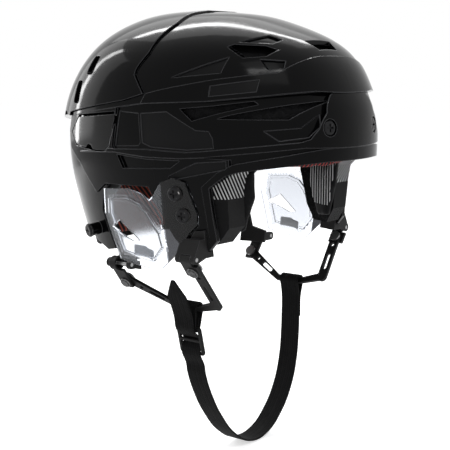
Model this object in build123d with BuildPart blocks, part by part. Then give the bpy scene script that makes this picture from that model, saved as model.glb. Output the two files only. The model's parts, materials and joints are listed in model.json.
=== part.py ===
# Ice hockey helmet with side ear guards and a webbing chin strap
# Frame: +Z up, the wearer faces -Y, +X is the wearer's left.
# Origin: on the symmetry plane, mid length of the head opening, at the height of the brow edge.
from build123d import *
from math import cos, pi, sin
import os

os.makedirs("parts", exist_ok=True)

# Overall shell, in millimetres
half_width = 108.0
front_reach = 134.0
rear_reach = 134.0
crown_height = 113.0
nape_inset = 10.0
egg_fullness_share = 0.61
overrun = 150.0

# Surface levels, measured inwards from the outer surface of the shell
brow_rise = 0.6
crown_level = 0.6
rib_level = 0.5
rim_level = 0.8
arm_level = 1.0
panel_level = 3.4
crown_wall = 2.8
arm_wall = 3.0
panel_wall = 2.6
tail_wall = 2.2
rear_rise = 0.9
rear_wall = 3.0
tongue_gap = 0.6
tongue_wall = 2.2
seam_gap = 0.5
ledge_width = 3.0
recess_depth = 1.2
pocket_depth = 3.0
hollow_margin_share = 0.04

# Liner and pads
liner_gap = 0.5
liner_half_width = 86.0
liner_front = 109.0
liner_rear = 110.0
liner_top = 97.0
pad_gap = 0.3
pad_thickness = 8.0
pad_draw_in = 3.0

# Ear guards
guard_thickness = 2.0
guard_gap = 0.1
guard_bulge = 2.5
guard_edge = 7.0
cushion_thickness = 3.0

# Fasteners
screw_head_diameter = 11.0
screw_head_height = 2.6
screw_diameter = 4.0
screw_play = 0.3
cross_width = 1.4
cross_depth = 1.2
nut_flange_diameter = 12.0
nut_flange_thickness = 1.2
nut_barrel_diameter = 6.2
curve_allowance = 0.3
post_diameter = 10.0
post_height = 8.0

# Latch flaps
latch_gap = 0.9
latch_thickness = 2.6
latch_pin_diameter = 1.0
latch_pin_length = 5.0
latch_pin_play = 0.1
latch_axis_depth = 2.2
latch_notch_radius = 5.0

# Chin strap hangers and loops
swing_axis_across = 102.0
swing_axis_height = 69.0
loop_lean = 36.9
hanger_pin_diameter = 3.0
hanger_pin_fit = 0.05
hanger_barrel_diameter = 7.0
hanger_thickness = 2.0
hanger_gap = 0.3
tab_thickness = 2.4
loop_thickness = 2.5
loop_arm_width = 8.5
loop_bar_width = 5.0
loop_slot_width = 3.2
rivet_diameter = 4.0
rivet_head_diameter = 9.0
rivet_head_height = 1.6
front_knuckle_start = 62.0
front_knuckle_end = 44.0
front_knuckle_width = 4.0
rear_pin_start = 11.0
rear_pin_end = 35.0
loop_drop = 56.0
rear_eye_down = 16.5
rear_eye_start = 24.2
rear_eye_end = 30.0
rear_eye_bore = 8.0
rear_eye_diameter = 11.0
tab_start_down = 4.6
tab_end_down = 14.5
rear_tab_start_down = 21.0
rear_tab_end_down = 39.8
rear_tab_front = 20.0
rear_tab_rear = 30.6
rail_thickness = 2.2
ear_reach = 4.0
front_ear_reach = 3.0

# Vents, brow screws and the travel of the rear shell
top_vent_half_width = 17.0
top_vent_narrow_half_width = 12.0
top_vent_rear = 96.0
top_vent_front = 106.0
top_vent_height = 60.0
rear_vent_turn = 60.0
rear_vent_start = 55.0
rear_vent_width = 11.0
brow_screw_across = 30.0
brow_screw_height = 25.0
shell_travel = 10.0

# Chin strap webbing
webbing_width = 18.0
webbing_thickness = 1.4
webbing_eye_radius = 3.6
strap_middle = 28.0
buckle_wire = 2.6
buckle_side_play = 0.6
buckle_width = webbing_width + 2 * (buckle_wire + buckle_side_play)
buckle_height = 24.0
buckle_lean = 14.1
link_offset = 0.45
over_link_play = 0.6

# Levels of the shell: height, half width, front and rear reach, as shares of the sizes above
level_shares = [
    (-1.10, 0.83, 0.93, 0.72),
    (-0.85, 0.87, 0.94, 0.77),
    (-0.60, 0.92, 0.955, 0.84),
    (-0.35, 0.958, 0.975, 0.92),
    (-0.10, 0.985, 0.997, 0.98),
    (0.15, 1.00, 1.00, 0.985),
    (0.37, 0.995, 0.975, 0.93),
    (0.55, 0.96, 0.91, 0.84),
    (0.70, 0.88, 0.82, 0.735),
    (0.82, 0.735, 0.67, 0.63),
    (0.92, 0.52, 0.455, 0.485),
    (0.98, 0.27, 0.235, 0.27),
    (0.992, 0.16, 0.14, 0.16),
]


def half_egg(width, front, rear, height):
    """The left half of one level: a rounded oval with its own reach ahead and behind."""
    full = egg_fullness_share
    with BuildSketch(Plane.XY.offset(height)) as level:
        with BuildLine():
            Bezier((0, -front), (full * width, -front), (width, -full * front), (width, 0))
            Bezier((width, 0), (width, full * rear), (full * width, rear), (0, rear))
            Line((0, rear), (0, -front))
        make_face()
    return level.sketch


def form(width, front, rear, top):
    """The left half of a helmet-shaped solid, from under the ears to the crown."""
    with BuildPart() as body:
        loft(sections=[half_egg(w * width, f * front, r * rear, h * top)
                       for h, w, f, r in level_shares])
    return body.part


def dome(depth):
    """The left half of the helmet form at a depth inside the outer surface."""
    return form(half_width - depth, front_reach - depth, rear_reach - depth, crown_height - depth)


def nape_dome(depth):
    """The left half of the narrower form of the rear shell below the side arms."""
    inset = nape_inset + depth
    return form(half_width - inset, front_reach - inset, rear_reach - depth, crown_height - depth)


def side_points(shares):
    """Side view points from shares of the front reach and the crown height."""
    return [(y * front_reach, z * crown_height) for y, z in shares]


def side_block(*outlines, inner=0.0, grow=0.0):
    """Blocks on the left side with side view outlines, from a distance off the middle outwards."""
    with BuildPart() as block:
        for shares in outlines:
            with BuildSketch(Plane.YZ.offset(inner)):
                with BuildLine():
                    Polyline(*side_points(shares), close=True)
                make_face()
                if grow:
                    offset(amount=grow, kind=Kind.INTERSECTION)
            extrude(amount=overrun)
    return block.part


def zone(depth, *outlines, inner=0.0, grow=0.0):
    """The solid form at a depth, kept only inside side view outlines."""
    with BuildPart() as piece:
        add(dome(depth))
        add(side_block(*outlines, inner=inner, grow=grow), mode=Mode.INTERSECT)
    return piece.part


def recess(depth, *outlines, inner=0.0):
    """A cutter for what lies outside the form at a depth, inside outlines."""
    with BuildPart() as cutter:
        add(side_block(*outlines, inner=inner))
        add(dome(depth), mode=Mode.SUBTRACT)
    return cutter.part


def sheet(outer, inner, *outlines, start=0.0, grow=0.0):
    """What lies between two half forms, inside side view outlines."""
    with BuildPart() as piece:
        add(outer)
        add(inner, mode=Mode.SUBTRACT)
        add(side_block(*outlines, inner=start, grow=grow), mode=Mode.INTERSECT)
    return piece.part


def liner_form(depth):
    """The left half of the form of the liner's inner surface, at a depth inside it."""
    return form(
        liner_half_width - depth, liner_front - depth, liner_rear - depth, liner_top - depth
    )


def pad(*outlines, start=0.0):
    """The left half of a cushion on the liner, drawn in towards the head."""
    step = pad_thickness * 0.6
    with BuildPart() as cushion:
        add(sheet(liner_form(pad_gap), liner_form(pad_gap + step), *outlines, start=start))
        add(sheet(liner_form(pad_gap + step), liner_form(pad_gap + pad_thickness),
                  *outlines, start=start, grow=-pad_draw_in))
    return cushion.part


# Side view outlines, as shares of the front reach and the crown height
front_outline_share = [
    (-1.12, 0.005), (-0.96, 0.005), (-0.84, -0.015), (-0.64, -0.05), (-0.58, -0.075),
    (-0.495, -0.155), (-0.505, -0.35), (-0.515, -0.50), (-0.47, -0.565), (-0.33, -0.57),
    (-0.27, -0.48), (-0.16, -0.24), (-0.13, -0.165), (0.21, -0.17), (0.30, -0.24),
    (0.44, -0.07), (0.575, 0.05), (0.595, 0.17), (0.56, 0.295), (0.39, 0.325),
    (0.02, 0.39), (-0.12, 0.435), (-0.04, 0.56), (-0.045, 0.60), (-0.09, 0.70),
    (-0.09, 0.90), (-0.04, 1.00), (-0.04, 1.15), (-1.12, 1.15),
]
crown_zone_share = [
    (-1.12, 0.445), (-0.95, 0.445), (-0.90, 0.455), (-0.72, 0.425), (-0.49, 0.395),
    (-0.10, 0.375), (0.39, 0.30), (0.70, 0.24), (0.70, 1.15), (-1.12, 1.15),
]
brow_band_share = [
    (-1.12, 0.445), (-0.95, 0.445), (-0.90, 0.455), (-0.72, 0.425), (-0.49, 0.395),
    (-0.10, 0.375), (-0.13, 0.44), (-0.24, 0.47), (-0.51, 0.53), (-0.68, 0.56),
    (-0.77, 0.575), (-0.83, 0.68), (-1.12, 0.67),
]
arm_zone_share = [
    (0.70, 0.45), (0.085, 0.45), (0.095, 0.30), (0.13, 0.09), (0.11, 0.05), (-0.13, 0.03),
    (-0.34, 0.03), (-0.47, 0.04), (-0.60, 0.03), (-0.60, -0.80), (0.70, -0.80),
]
rear_arm_share = [(0.70, 0.45), (0.12, 0.45), (0.14, 0.05), (0.14, -0.60), (0.70, -0.60)]
temple_tab_share = [(-0.60, -0.125), (-0.10, -0.125), (-0.10, -0.80), (-0.60, -0.80)]
tail_share = [(0.70, 0.45), (0.50, 0.45), (0.50, -0.60), (0.70, -0.60)]
rib_share = [
    (0.45, 0.03), (0.17, 0.07), (-0.13, 0.08), (-0.37, 0.07), (-0.47, 0.08), (-0.88, 0.135),
    (-0.915, 0.155), (-0.935, 0.22), (-0.945, 0.32), (-0.93, 0.43), (-0.93, 0.50),
    (-1.12, 0.50), (-1.12, 0.08), (-0.90, 0.10), (-0.84, 0.09), (-0.47, 0.04), (-0.34, 0.03),
    (-0.13, 0.03), (0.11, 0.05),
]
rim_share = [
    (-1.12, -0.10), (-1.12, 0.10), (-0.95, 0.09), (-0.84, 0.055), (-0.62, 0.0),
    (-0.54, -0.055), (-0.455, -0.15), (-0.47, -0.35), (-0.485, -0.62), (-0.62, -0.62),
    (-0.62, -0.10),
]
satin_panel_share = [
    (-0.08, 0.31), (-0.25, 0.325), (-0.42, 0.21), (-0.49, 0.205), (-0.51, 0.16),
    (-0.515, 0.10), (-0.37, 0.085), (-0.15, 0.095), (-0.09, 0.12),
]
gloss_panel_share = [(0.075, 0.32), (-0.065, 0.31), (-0.075, 0.12), (-0.06, 0.10), (0.115, 0.09)]
low_pocket_share = [
    (0.09, 0.035), (-0.13, 0.015), (-0.34, 0.015), (-0.28, -0.035), (0.05, -0.055),
]
wedge_share = [(-0.27, -0.085), (-0.43, 0.005), (-0.585, 0.02), (-0.585, -0.03), (-0.26, -0.12)]
brow_wing_share = [
    (-0.74, 0.21), (-0.87, 0.225), (-0.925, 0.33), (-0.93, 0.25), (-0.895, 0.165), (-0.80, 0.145),
]
name_panel_share = [(-0.50, 0.49), (-0.71, 0.53), (-0.71, 0.455), (-0.50, 0.425)]
leaf_share = [(-0.27, 0.54), (-0.54, 0.67), (-0.53, 0.57)]
vent_cheek_share = [(-0.67, 0.655), (-0.76, 0.645), (-0.77, 0.60), (-0.72, 0.59)]
vent_brow_share = [(-0.53, 0.765), (-0.60, 0.81), (-0.67, 0.78), (-0.66, 0.755)]
front_slot_share = [
    (-0.33, 0.345), (-0.40, 0.27), (-0.54, 0.32), (-0.71, 0.375), (-0.69, 0.395), (-0.51, 0.365),
]
brow_slot_share = [
    (-0.53, 0.285), (-0.83, 0.28), (-0.925, 0.395), (-0.80, 0.365), (-0.60, 0.31),
]
crown_vent_share = [
    (-0.50, 0.735), (-0.52, 0.75), (-0.65, 0.74), (-0.705, 0.715), (-0.685, 0.675), (-0.60, 0.665),
]
latch_share = [
    (0.45, 0.285), (0.10, 0.32), (0.095, 0.27), (0.155, 0.085), (0.19, 0.05), (0.27, 0.045),
    (0.49, 0.07), (0.555, 0.16),
]

side_start = half_width / 3
# Hinge line of the latch flaps, a straight chord under the top edge of each opening
latch_head_share = [
    (0.0, 0.2995), (0.095, 0.3015), (0.45, 0.2665), (0.60, 0.25), (0.60, 0.40), (0.0, 0.40),
]
latch_notch_share = (0.34, 0.045)
latch_line_shares = [(0.104, 0.2925), (0.4665, 0.2575)]
latch_body = dome(latch_axis_depth)
latch_front, latch_rear = [
    latch_body.find_intersection_points(Axis((0, y, z), (1, 0, 0)))[-1][0]
    for y, z in side_points(latch_line_shares)
]
latch_way = (latch_rear - latch_front).normalized()
latch_pin_inset = latch_pin_length / 10
latch_axis_front = Plane(origin=latch_front + latch_way * latch_pin_inset, z_dir=latch_way)
latch_axis_rear = Plane(origin=latch_rear - latch_way * latch_pin_inset, z_dir=latch_way)

# Seats of the screws, on the outer surface of the left half
outer_dome = dome(0)
nape_outer = nape_dome(0)


def seat(body, start, toward):
    """The plane where a straight line leaves a body, facing outwards."""
    point, normal = body.find_intersection_points(Axis(start, toward))[-1]
    return Plane(origin=point, z_dir=normal)


temple_screw_shares = [(-0.313, -0.195), (-0.35, -0.336)]
rear_screw_share = (0.403, -0.513)
temple_seats = [
    seat(outer_dome, (0, y, z), (1, 0, 0)) for y, z in side_points(temple_screw_shares)
]
rear_seat = seat(nape_outer, (0, *side_points([rear_screw_share])[0]), (1, 0, 0))
brow_seat = seat(dome(panel_level), (brow_screw_across, 0, brow_screw_height), (0, -1, 0))
temple_screw_reach = arm_level + arm_wall + nut_flange_thickness
brow_screw_reach = panel_wall + nut_flange_thickness
nut_bore_diameter = screw_diameter + screw_play
nut_hole_diameter = nut_barrel_diameter + screw_play

# Front shell
crown_hollow_share = [(y, z + hollow_margin_share) for y, z in crown_zone_share]
slot_start = half_width / 4

front_hollow_low = dome(panel_level + panel_wall)
front_hollow_crown = zone(crown_level + crown_wall, crown_hollow_share)
front_hollow_arm = zone(arm_level + arm_wall, rear_arm_share, temple_tab_share)
front_hollow_tail = zone(arm_level + tail_wall, tail_share)
crown_zone = zone(crown_level, crown_zone_share)
brow_band = zone(-brow_rise, brow_band_share)
arm_zone = zone(arm_level, arm_zone_share, inner=side_start)
rib_zone = zone(rib_level, rib_share)
rim_zone = zone(rim_level, rim_share)
wedge_cut = recess(arm_level + recess_depth, wedge_share, inner=side_start)
deep_cut = recess(arm_level + pocket_depth, gloss_panel_share, low_pocket_share, inner=side_start)
panel_cut = recess(
    panel_level + recess_depth / 2, brow_wing_share, satin_panel_share, inner=side_start
)
name_cut = recess(recess_depth / 2 - brow_rise, name_panel_share, inner=side_start)
crown_cut = recess(
    crown_level + recess_depth, leaf_share, vent_cheek_share, vent_brow_share, inner=side_start
)
through_cuts = side_block(
    front_slot_share, brow_slot_share, crown_vent_share, latch_share, inner=slot_start
)
front_outline = side_block(front_outline_share)

with BuildPart() as front_shell:
    add(dome(panel_level))
    add([crown_zone, brow_band, arm_zone, rib_zone, rim_zone])
    for hollow in (front_hollow_low, front_hollow_crown, front_hollow_arm, front_hollow_tail):
        add(hollow, mode=Mode.SUBTRACT)
    add(front_outline, mode=Mode.INTERSECT)
    for cutter in (panel_cut, wedge_cut, deep_cut, name_cut, crown_cut, through_cuts):
        add(cutter, mode=Mode.SUBTRACT)
    with BuildSketch(Plane.XY.offset(top_vent_height)):
        with BuildLine():
            Polyline(
                (-seam_gap, -top_vent_rear),
                (top_vent_half_width, -top_vent_rear),
                (top_vent_narrow_half_width, -top_vent_front),
                (-seam_gap, -top_vent_front),
                close=True,
            )
        make_face()
    extrude(amount=top_vent_height, mode=Mode.SUBTRACT)
    with Locations(*temple_seats, brow_seat):
        Cylinder(nut_hole_diameter / 2, overrun / 5, mode=Mode.SUBTRACT)
    with BuildSketch(brow_seat):
        Circle(screw_head_diameter / 2 + 3 * screw_play)
    extrude(amount=overrun / 10, mode=Mode.SUBTRACT)
    with Locations(latch_axis_front, latch_axis_rear):
        Cylinder(latch_pin_diameter / 2, latch_pin_length, mode=Mode.SUBTRACT)
    mirror(about=Plane.YZ)
front_shell.part.label = "front_shell"
export_step(front_shell.part, "parts/front_shell.step")

# Rear shell
rear_upper_share = [
    (-0.20, 0.40), (0.02, 0.36), (0.39, 0.30), (0.56, 0.27), (0.63, 0.285), (1.12, 0.17),
    (1.12, 1.15), (-0.20, 1.15),
]
nape_share = [
    (-0.02, 0.30), (0.39, 0.27), (0.62, 0.32), (1.12, 0.22), (1.12, -0.52), (0.75, -0.53),
    (0.52, -0.575), (0.38, -0.64), (0.33, -0.66), (0.245, -0.64), (0.30, -0.50), (0.335, -0.37),
    (0.305, -0.25), (0.22, -0.16), (0.0, -0.10),
]
crown_ledge_share = [(-0.20, 0.60), (0.10, 0.60), (0.10, 1.15), (-0.20, 1.15)]
side_ledge_share = [
    (-0.20, 0.60), (-0.20, 0.40), (0.02, 0.36), (0.56, 0.27), (0.63, 0.30), (0.39, 0.45),
    (0.10, 0.60),
]
back_ledge_share = [(0.55, 0.30), (0.63, 0.285), (1.12, 0.17), (1.12, 0.205), (0.63, 0.32)]
tongue_share = [(-0.30, 0.80), (-0.22, 0.62), (0.0, 0.62), (0.0, 1.15), (-0.30, 1.15)]
# Place across, height and length of each rear vent
rear_vent_shares = [(-0.045, 0.62, 0.125), (0.075, 0.438, 0.155), (0.325, 0.25, 0.10)]

tongue_depth = crown_level + crown_wall + tongue_gap
side_ledge_depth = nape_inset + rear_wall
gap_block = side_block(front_outline_share, grow=seam_gap)
frame_block = side_block(front_outline_share, grow=seam_gap + ledge_width)
rear_outer = dome(-rear_rise)
rear_skin = sheet(rear_outer, dome(rear_wall - rear_rise), rear_upper_share)
nape_skin = sheet(nape_dome(0), nape_dome(rear_wall), nape_share)
crown_ledge = sheet(rear_outer, dome(tongue_depth + tongue_wall), crown_ledge_share)
side_ledge = sheet(rear_outer, dome(side_ledge_depth), side_ledge_share)
back_ledge = sheet(rear_outer, nape_dome(rear_wall), back_ledge_share)
tongue = sheet(dome(tongue_depth), dome(tongue_depth + tongue_wall), tongue_share)
with BuildPart() as ledges:
    add(crown_ledge)
    add(side_ledge)
    add(frame_block, mode=Mode.INTERSECT)
with BuildPart() as rear_shell:
    add(rear_skin)
    add(ledges.part)
    add(gap_block, mode=Mode.SUBTRACT)
    add([nape_skin, back_ledge, tongue])
    with BuildSketch(rear_seat.offset(-rear_wall / 2)):
        Circle(post_diameter / 2)
    extrude(amount=post_height + rear_wall / 2)
    with Locations(rear_seat):
        Cylinder(nut_hole_diameter / 2, overrun / 5, mode=Mode.SUBTRACT)
    vent_normal = (sin(rear_vent_turn * pi / 180), cos(rear_vent_turn * pi / 180), 0)
    vent_across = (-vent_normal[1], vent_normal[0], 0)
    vent_plane = Plane(origin=(0, 0, 0), x_dir=vent_across, z_dir=vent_normal)
    with BuildSketch(vent_plane.offset(rear_vent_start)):
        for across, height, tall in rear_vent_shares:
            with Locations((across * half_width, height * crown_height)):
                RectangleRounded(rear_vent_width, tall * crown_height, rear_vent_width / 4)
    extrude(amount=half_width, mode=Mode.SUBTRACT)
    mirror(about=Plane.YZ)
rear_shell.part.label = "rear_shell"
export_step(rear_shell.part, "parts/rear_shell.step")

# Liners, under the shells and round the head
liner_depth = panel_level + panel_wall + liner_gap
front_liner_share = [
    (-1.12, 0.02), (-0.90, 0.02), (-0.70, 0.02), (-0.61, -0.02), (-0.575, -0.10), (-0.56, -0.20),
    (-0.555, -0.42), (-0.49, -0.53), (-0.36, -0.53), (-0.28, -0.42), (-0.20, -0.17),
    (-0.20, 1.15), (-1.12, 1.15),
]
rear_liner_share = [
    (-0.155, -0.06), (0.20, -0.12), (0.34, -0.22), (0.38, -0.37), (0.37, -0.42), (0.44, -0.43),
    (0.50, -0.66), (1.12, -0.71), (1.12, 1.15), (0.13, 1.15), (0.13, 0.78), (-0.155, 0.78),
]
tongue_room_share = [(-0.33, 0.56), (0.02, 0.56), (0.02, 1.15), (-0.33, 1.15)]
front_liner_half = sheet(dome(liner_depth), liner_form(0), front_liner_share)
rear_liner_half = sheet(nape_dome(rear_wall + liner_gap), liner_form(0), rear_liner_share)
tongue_room = recess(tongue_depth + tongue_wall + shell_travel / 2, tongue_room_share)
ledge_room = side_block(front_outline_share, grow=seam_gap + ledge_width + liner_gap)
ledge_clear = dome(side_ledge_depth + liner_gap)
nut_pocket_diameter = nut_flange_diameter + 2 * screw_play
nut_pocket_depth = 2 * nut_flange_thickness + screw_play

with BuildPart() as front_liner:
    add(front_liner_half)
    add(tongue_room, mode=Mode.SUBTRACT)
    with BuildSketch(brow_seat.offset(-panel_wall)):
        Circle(nut_pocket_diameter / 2)
    extrude(amount=-nut_pocket_depth, mode=Mode.SUBTRACT)
    mirror(about=Plane.YZ)
front_liner.part.label = "front_liner"
export_step(front_liner.part, "parts/front_liner.step")

with BuildPart() as rear_liner:
    add(rear_liner_half)
    add(tongue_room, mode=Mode.SUBTRACT)
    with BuildPart(mode=Mode.PRIVATE) as ledge_pocket:
        add(ledge_room)
        add(ledge_clear, mode=Mode.SUBTRACT)
    add(ledge_pocket.part, mode=Mode.SUBTRACT)
    mirror(about=Plane.YZ)
rear_liner.part.label = "rear_liner"
export_step(rear_liner.part, "parts/rear_liner.step")

# Cushions that touch the head
brow_pad_share = [(-1.12, -0.085), (-0.70, -0.06), (-0.70, 0.22), (-1.12, 0.22)]
front_crown_pad_share = [(-0.66, 0.62), (-0.24, 0.62), (-0.24, 1.15), (-0.66, 1.15)]
rear_crown_pad_share = [(0.16, 0.62), (0.58, 0.62), (0.58, 1.15), (0.16, 1.15)]
nape_pad_share = [(0.56, -0.66), (1.12, -0.66), (1.12, 0.05), (0.60, 0.05)]
temple_pad_share = [
    (-0.605, -0.05), (-0.60, -0.24), (-0.54, -0.48), (-0.42, -0.50), (-0.32, -0.30),
    (-0.30, -0.08),
]

with BuildPart() as brow_pad:
    add(pad(brow_pad_share))
    mirror(about=Plane.YZ)
brow_pad.part.label = "brow_pad"
export_step(brow_pad.part, "parts/brow_pad.step")

with BuildPart() as front_crown_pad:
    add(pad(front_crown_pad_share))
    mirror(about=Plane.YZ)
front_crown_pad.part.label = "front_crown_pad"
export_step(front_crown_pad.part, "parts/front_crown_pad.step")

with BuildPart() as rear_crown_pad:
    add(pad(rear_crown_pad_share))
    mirror(about=Plane.YZ)
rear_crown_pad.part.label = "rear_crown_pad"
export_step(rear_crown_pad.part, "parts/rear_crown_pad.step")

with BuildPart() as nape_pad:
    add(pad(nape_pad_share))
    mirror(about=Plane.YZ)
nape_pad.part.label = "nape_pad"
export_step(nape_pad.part, "parts/nape_pad.step")

with BuildPart() as temple_pad_left:
    add(pad(temple_pad_share, start=side_start))
temple_pad_left.part.label = "temple_pad_left"
export_step(temple_pad_left.part, "parts/temple_pad_left.step")
with BuildPart() as temple_pad_right:
    mirror(temple_pad_left.part, about=Plane.YZ)
temple_pad_right.part.label = "temple_pad_right"
export_step(temple_pad_right.part, "parts/temple_pad_right.step")


# Screws and the brass nuts under the shell
def screw(length):
    """A domed screw with a cross in its head, with the seat at the origin."""
    with BuildPart() as body:
        with BuildSketch():
            Circle(screw_head_diameter / 2)
        extrude(amount=screw_head_height)
        fillet(body.edges().group_by(Axis.Z)[-1], radius=screw_head_height * 0.6)
        with BuildSketch(Plane.XY.offset(screw_head_height)):
            Rectangle(screw_head_diameter * 0.55, cross_width)
            Rectangle(cross_width, screw_head_diameter * 0.55)
        extrude(amount=-cross_depth, mode=Mode.SUBTRACT)
        with BuildSketch():
            Circle(screw_diameter / 2)
        extrude(amount=-length)
    return body.part


def nut(depth, barrel):
    """A flanged nut whose flange starts at a depth under the seat, with a barrel towards it."""
    with BuildPart() as body:
        with BuildSketch(Plane.XY.offset(-depth)):
            Circle(nut_flange_diameter / 2)
        extrude(amount=-nut_flange_thickness)
        with BuildSketch(Plane.XY.offset(-depth)):
            Circle(nut_barrel_diameter / 2)
        extrude(amount=barrel)
        with BuildSketch(Plane.XY.offset(-depth + barrel)):
            Circle(nut_bore_diameter / 2)
        extrude(amount=-barrel - nut_flange_thickness, mode=Mode.SUBTRACT)
    return body.part


guard_top = guard_thickness - arm_level + guard_gap
temple_barrel = arm_wall - screw_play
brow_barrel = panel_wall - screw_play
with BuildPart() as temple_screws:
    with Locations(*[place.offset(guard_top + guard_gap) for place in temple_seats]):
        add(screw(guard_top + temple_screw_reach))
    mirror(about=Plane.YZ)
temple_screws.part.label = "temple_screws"
export_step(temple_screws.part, "parts/temple_screws.step")

with BuildPart() as temple_nuts:
    with Locations(*temple_seats):
        add(nut(arm_level + arm_wall + curve_allowance, temple_barrel))
    mirror(about=Plane.YZ)
temple_nuts.part.label = "temple_nuts"
export_step(temple_nuts.part, "parts/temple_nuts.step")

with BuildPart() as brow_screws:
    with Locations(brow_seat.offset(guard_gap)):
        add(screw(brow_screw_reach))
    mirror(about=Plane.YZ)
brow_screws.part.label = "brow_screws"
export_step(brow_screws.part, "parts/brow_screws.step")

with BuildPart() as brow_nuts:
    with Locations(brow_seat):
        add(nut(panel_wall + curve_allowance, brow_barrel))
    mirror(about=Plane.YZ)
brow_nuts.part.label = "brow_nuts"
export_step(brow_nuts.part, "parts/brow_nuts.step")

with BuildPart() as rear_screws:
    with Locations(rear_seat.offset(post_height + guard_gap)):
        add(screw(post_height + rear_wall + nut_flange_thickness))
    mirror(about=Plane.YZ)
rear_screws.part.label = "rear_screws"
export_step(rear_screws.part, "parts/rear_screws.step")

with BuildPart() as rear_nuts:
    with Locations(rear_seat):
        add(nut(rear_wall + curve_allowance, rear_wall))
    mirror(about=Plane.YZ)
rear_nuts.part.label = "rear_nuts"
export_step(rear_nuts.part, "parts/rear_nuts.step")

# Ear guards, sheets with a raised middle and a window
guard_share = [
    (0.205, -0.203), (0.007, -0.187), (-0.08, -0.212), (-0.138, -0.254), (-0.17, -0.22),
    (-0.22, -0.135), (-0.30, -0.095), (-0.375, -0.12), (-0.40, -0.21), (-0.43, -0.32),
    (-0.425, -0.40), (-0.38, -0.45), (-0.33, -0.53), (-0.317, -0.566), (-0.166, -0.726),
    (0.046, -0.70), (0.127, -0.68), (0.18, -0.50), (0.216, -0.372),
]
guard_window_share = [(0.164, -0.46), (0.075, -0.40), (-0.06, -0.527), (-0.01, -0.536)]
guard_panel_share = [
    (0.205, -0.203), (0.007, -0.187), (-0.10, -0.225), (-0.17, -0.30), (-0.25, -0.44),
    (-0.27, -0.58), (-0.166, -0.726), (0.046, -0.70), (0.127, -0.68), (0.18, -0.50),
    (0.216, -0.372),
]
cushion_share = [(-0.14, -0.57), (0.04, -0.56), (0.035, -0.655), (-0.13, -0.675)]
guard_inside = dome(arm_level - guard_gap)
guard_outside = dome(arm_level - guard_gap - guard_thickness)
guard_raised = dome(arm_level - guard_gap - guard_thickness - guard_bulge)
guard_hollow = dome(arm_level - guard_gap - guard_bulge)

with BuildPart() as ear_guard_left:
    add(side_block(guard_share))
    add(guard_outside, mode=Mode.INTERSECT)
    with BuildPart(mode=Mode.PRIVATE) as raised:
        add(side_block(guard_panel_share, grow=-guard_edge))
        add(guard_raised, mode=Mode.INTERSECT)
    add(raised.part)
    add(guard_inside, mode=Mode.SUBTRACT)
    with BuildPart(mode=Mode.PRIVATE) as hollow:
        add(side_block(guard_panel_share, grow=-guard_edge - guard_thickness))
        add(guard_hollow, mode=Mode.INTERSECT)
    add(hollow.part, mode=Mode.SUBTRACT)
    add(side_block(guard_window_share, inner=side_start), mode=Mode.SUBTRACT)
    with Locations(*temple_seats):
        Cylinder(nut_bore_diameter / 2 + screw_play, overrun / 10, mode=Mode.SUBTRACT)
ear_guard_left.part.label = "ear_guard_left"
export_step(ear_guard_left.part, "parts/ear_guard_left.step")
with BuildPart() as ear_guard_right:
    mirror(ear_guard_left.part, about=Plane.YZ)
ear_guard_right.part.label = "ear_guard_right"
export_step(ear_guard_right.part, "parts/ear_guard_right.step")

with BuildPart() as guard_cushion_left:
    add(side_block(cushion_share))
    add(dome(arm_level + pad_gap), mode=Mode.INTERSECT)
    add(dome(arm_level + pad_gap + cushion_thickness), mode=Mode.SUBTRACT)
guard_cushion_left.part.label = "guard_cushion_left"
export_step(guard_cushion_left.part, "parts/guard_cushion_left.step")
with BuildPart() as guard_cushion_right:
    mirror(guard_cushion_left.part, about=Plane.YZ)
guard_cushion_right.part.label = "guard_cushion_right"
export_step(guard_cushion_right.part, "parts/guard_cushion_right.step")

# Latch flaps in the side arms, hinged along the top edge
with BuildPart() as latch_flap_left:
    add(side_block(latch_share, inner=side_start, grow=-latch_gap))
    add(dome(arm_level), mode=Mode.INTERSECT)
    add(dome(arm_level + latch_thickness), mode=Mode.SUBTRACT)
    add(side_block(latch_head_share, inner=side_start), mode=Mode.SUBTRACT)
    with BuildSketch(Plane.YZ.offset(side_start)):
        with Locations(*side_points([latch_notch_share])):
            Circle(latch_notch_radius)
    extrude(amount=overrun, mode=Mode.SUBTRACT)
    with Locations(latch_axis_front, latch_axis_rear):
        Cylinder(latch_pin_diameter / 2, latch_pin_length, mode=Mode.SUBTRACT)
latch_flap_left.part.label = "latch_flap_left"
export_step(latch_flap_left.part, "parts/latch_flap_left.step")
with BuildPart() as latch_flap_right:
    mirror(latch_flap_left.part, about=Plane.YZ)
latch_flap_right.part.label = "latch_flap_right"
export_step(latch_flap_right.part, "parts/latch_flap_right.step")

with BuildPart() as latch_pins:
    with Locations(latch_axis_front, latch_axis_rear):
        Cylinder(latch_pin_diameter / 2 - latch_pin_play, latch_pin_length - 2 * latch_pin_play)
    mirror(about=Plane.YZ)
latch_pins.part.label = "latch_pins"
export_step(latch_pins.part, "parts/latch_pins.step")

# Swing planes of the chin strap loops: the sketch's x runs along y and its y runs up the lean
swing_along = (-sin(loop_lean * pi / 180), -cos(loop_lean * pi / 180))
loop_plane = Plane(
    origin=(swing_axis_across, 0, -swing_axis_height),
    x_dir=(0, 1, 0),
    z_dir=(cos(loop_lean * pi / 180), 0, -sin(loop_lean * pi / 180)),
)
axis_plane = Plane(
    origin=(swing_axis_across, 0, -swing_axis_height), x_dir=(1, 0, 0), z_dir=(0, -1, 0)
)


def along(y, down):
    """A point in the swing plane: its place along y and its distance below the swing axis."""
    return (y, -down)


def loop_point(shares):
    """A point in the swing plane, from shares of the drop of the loop."""
    return along(shares[0] * loop_drop, shares[1] * loop_drop)


def swing_point(down):
    """The x and z of a point of the swing plane."""
    return (
        swing_axis_across + down * swing_along[0],
        -swing_axis_height + down * swing_along[1],
    )


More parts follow.
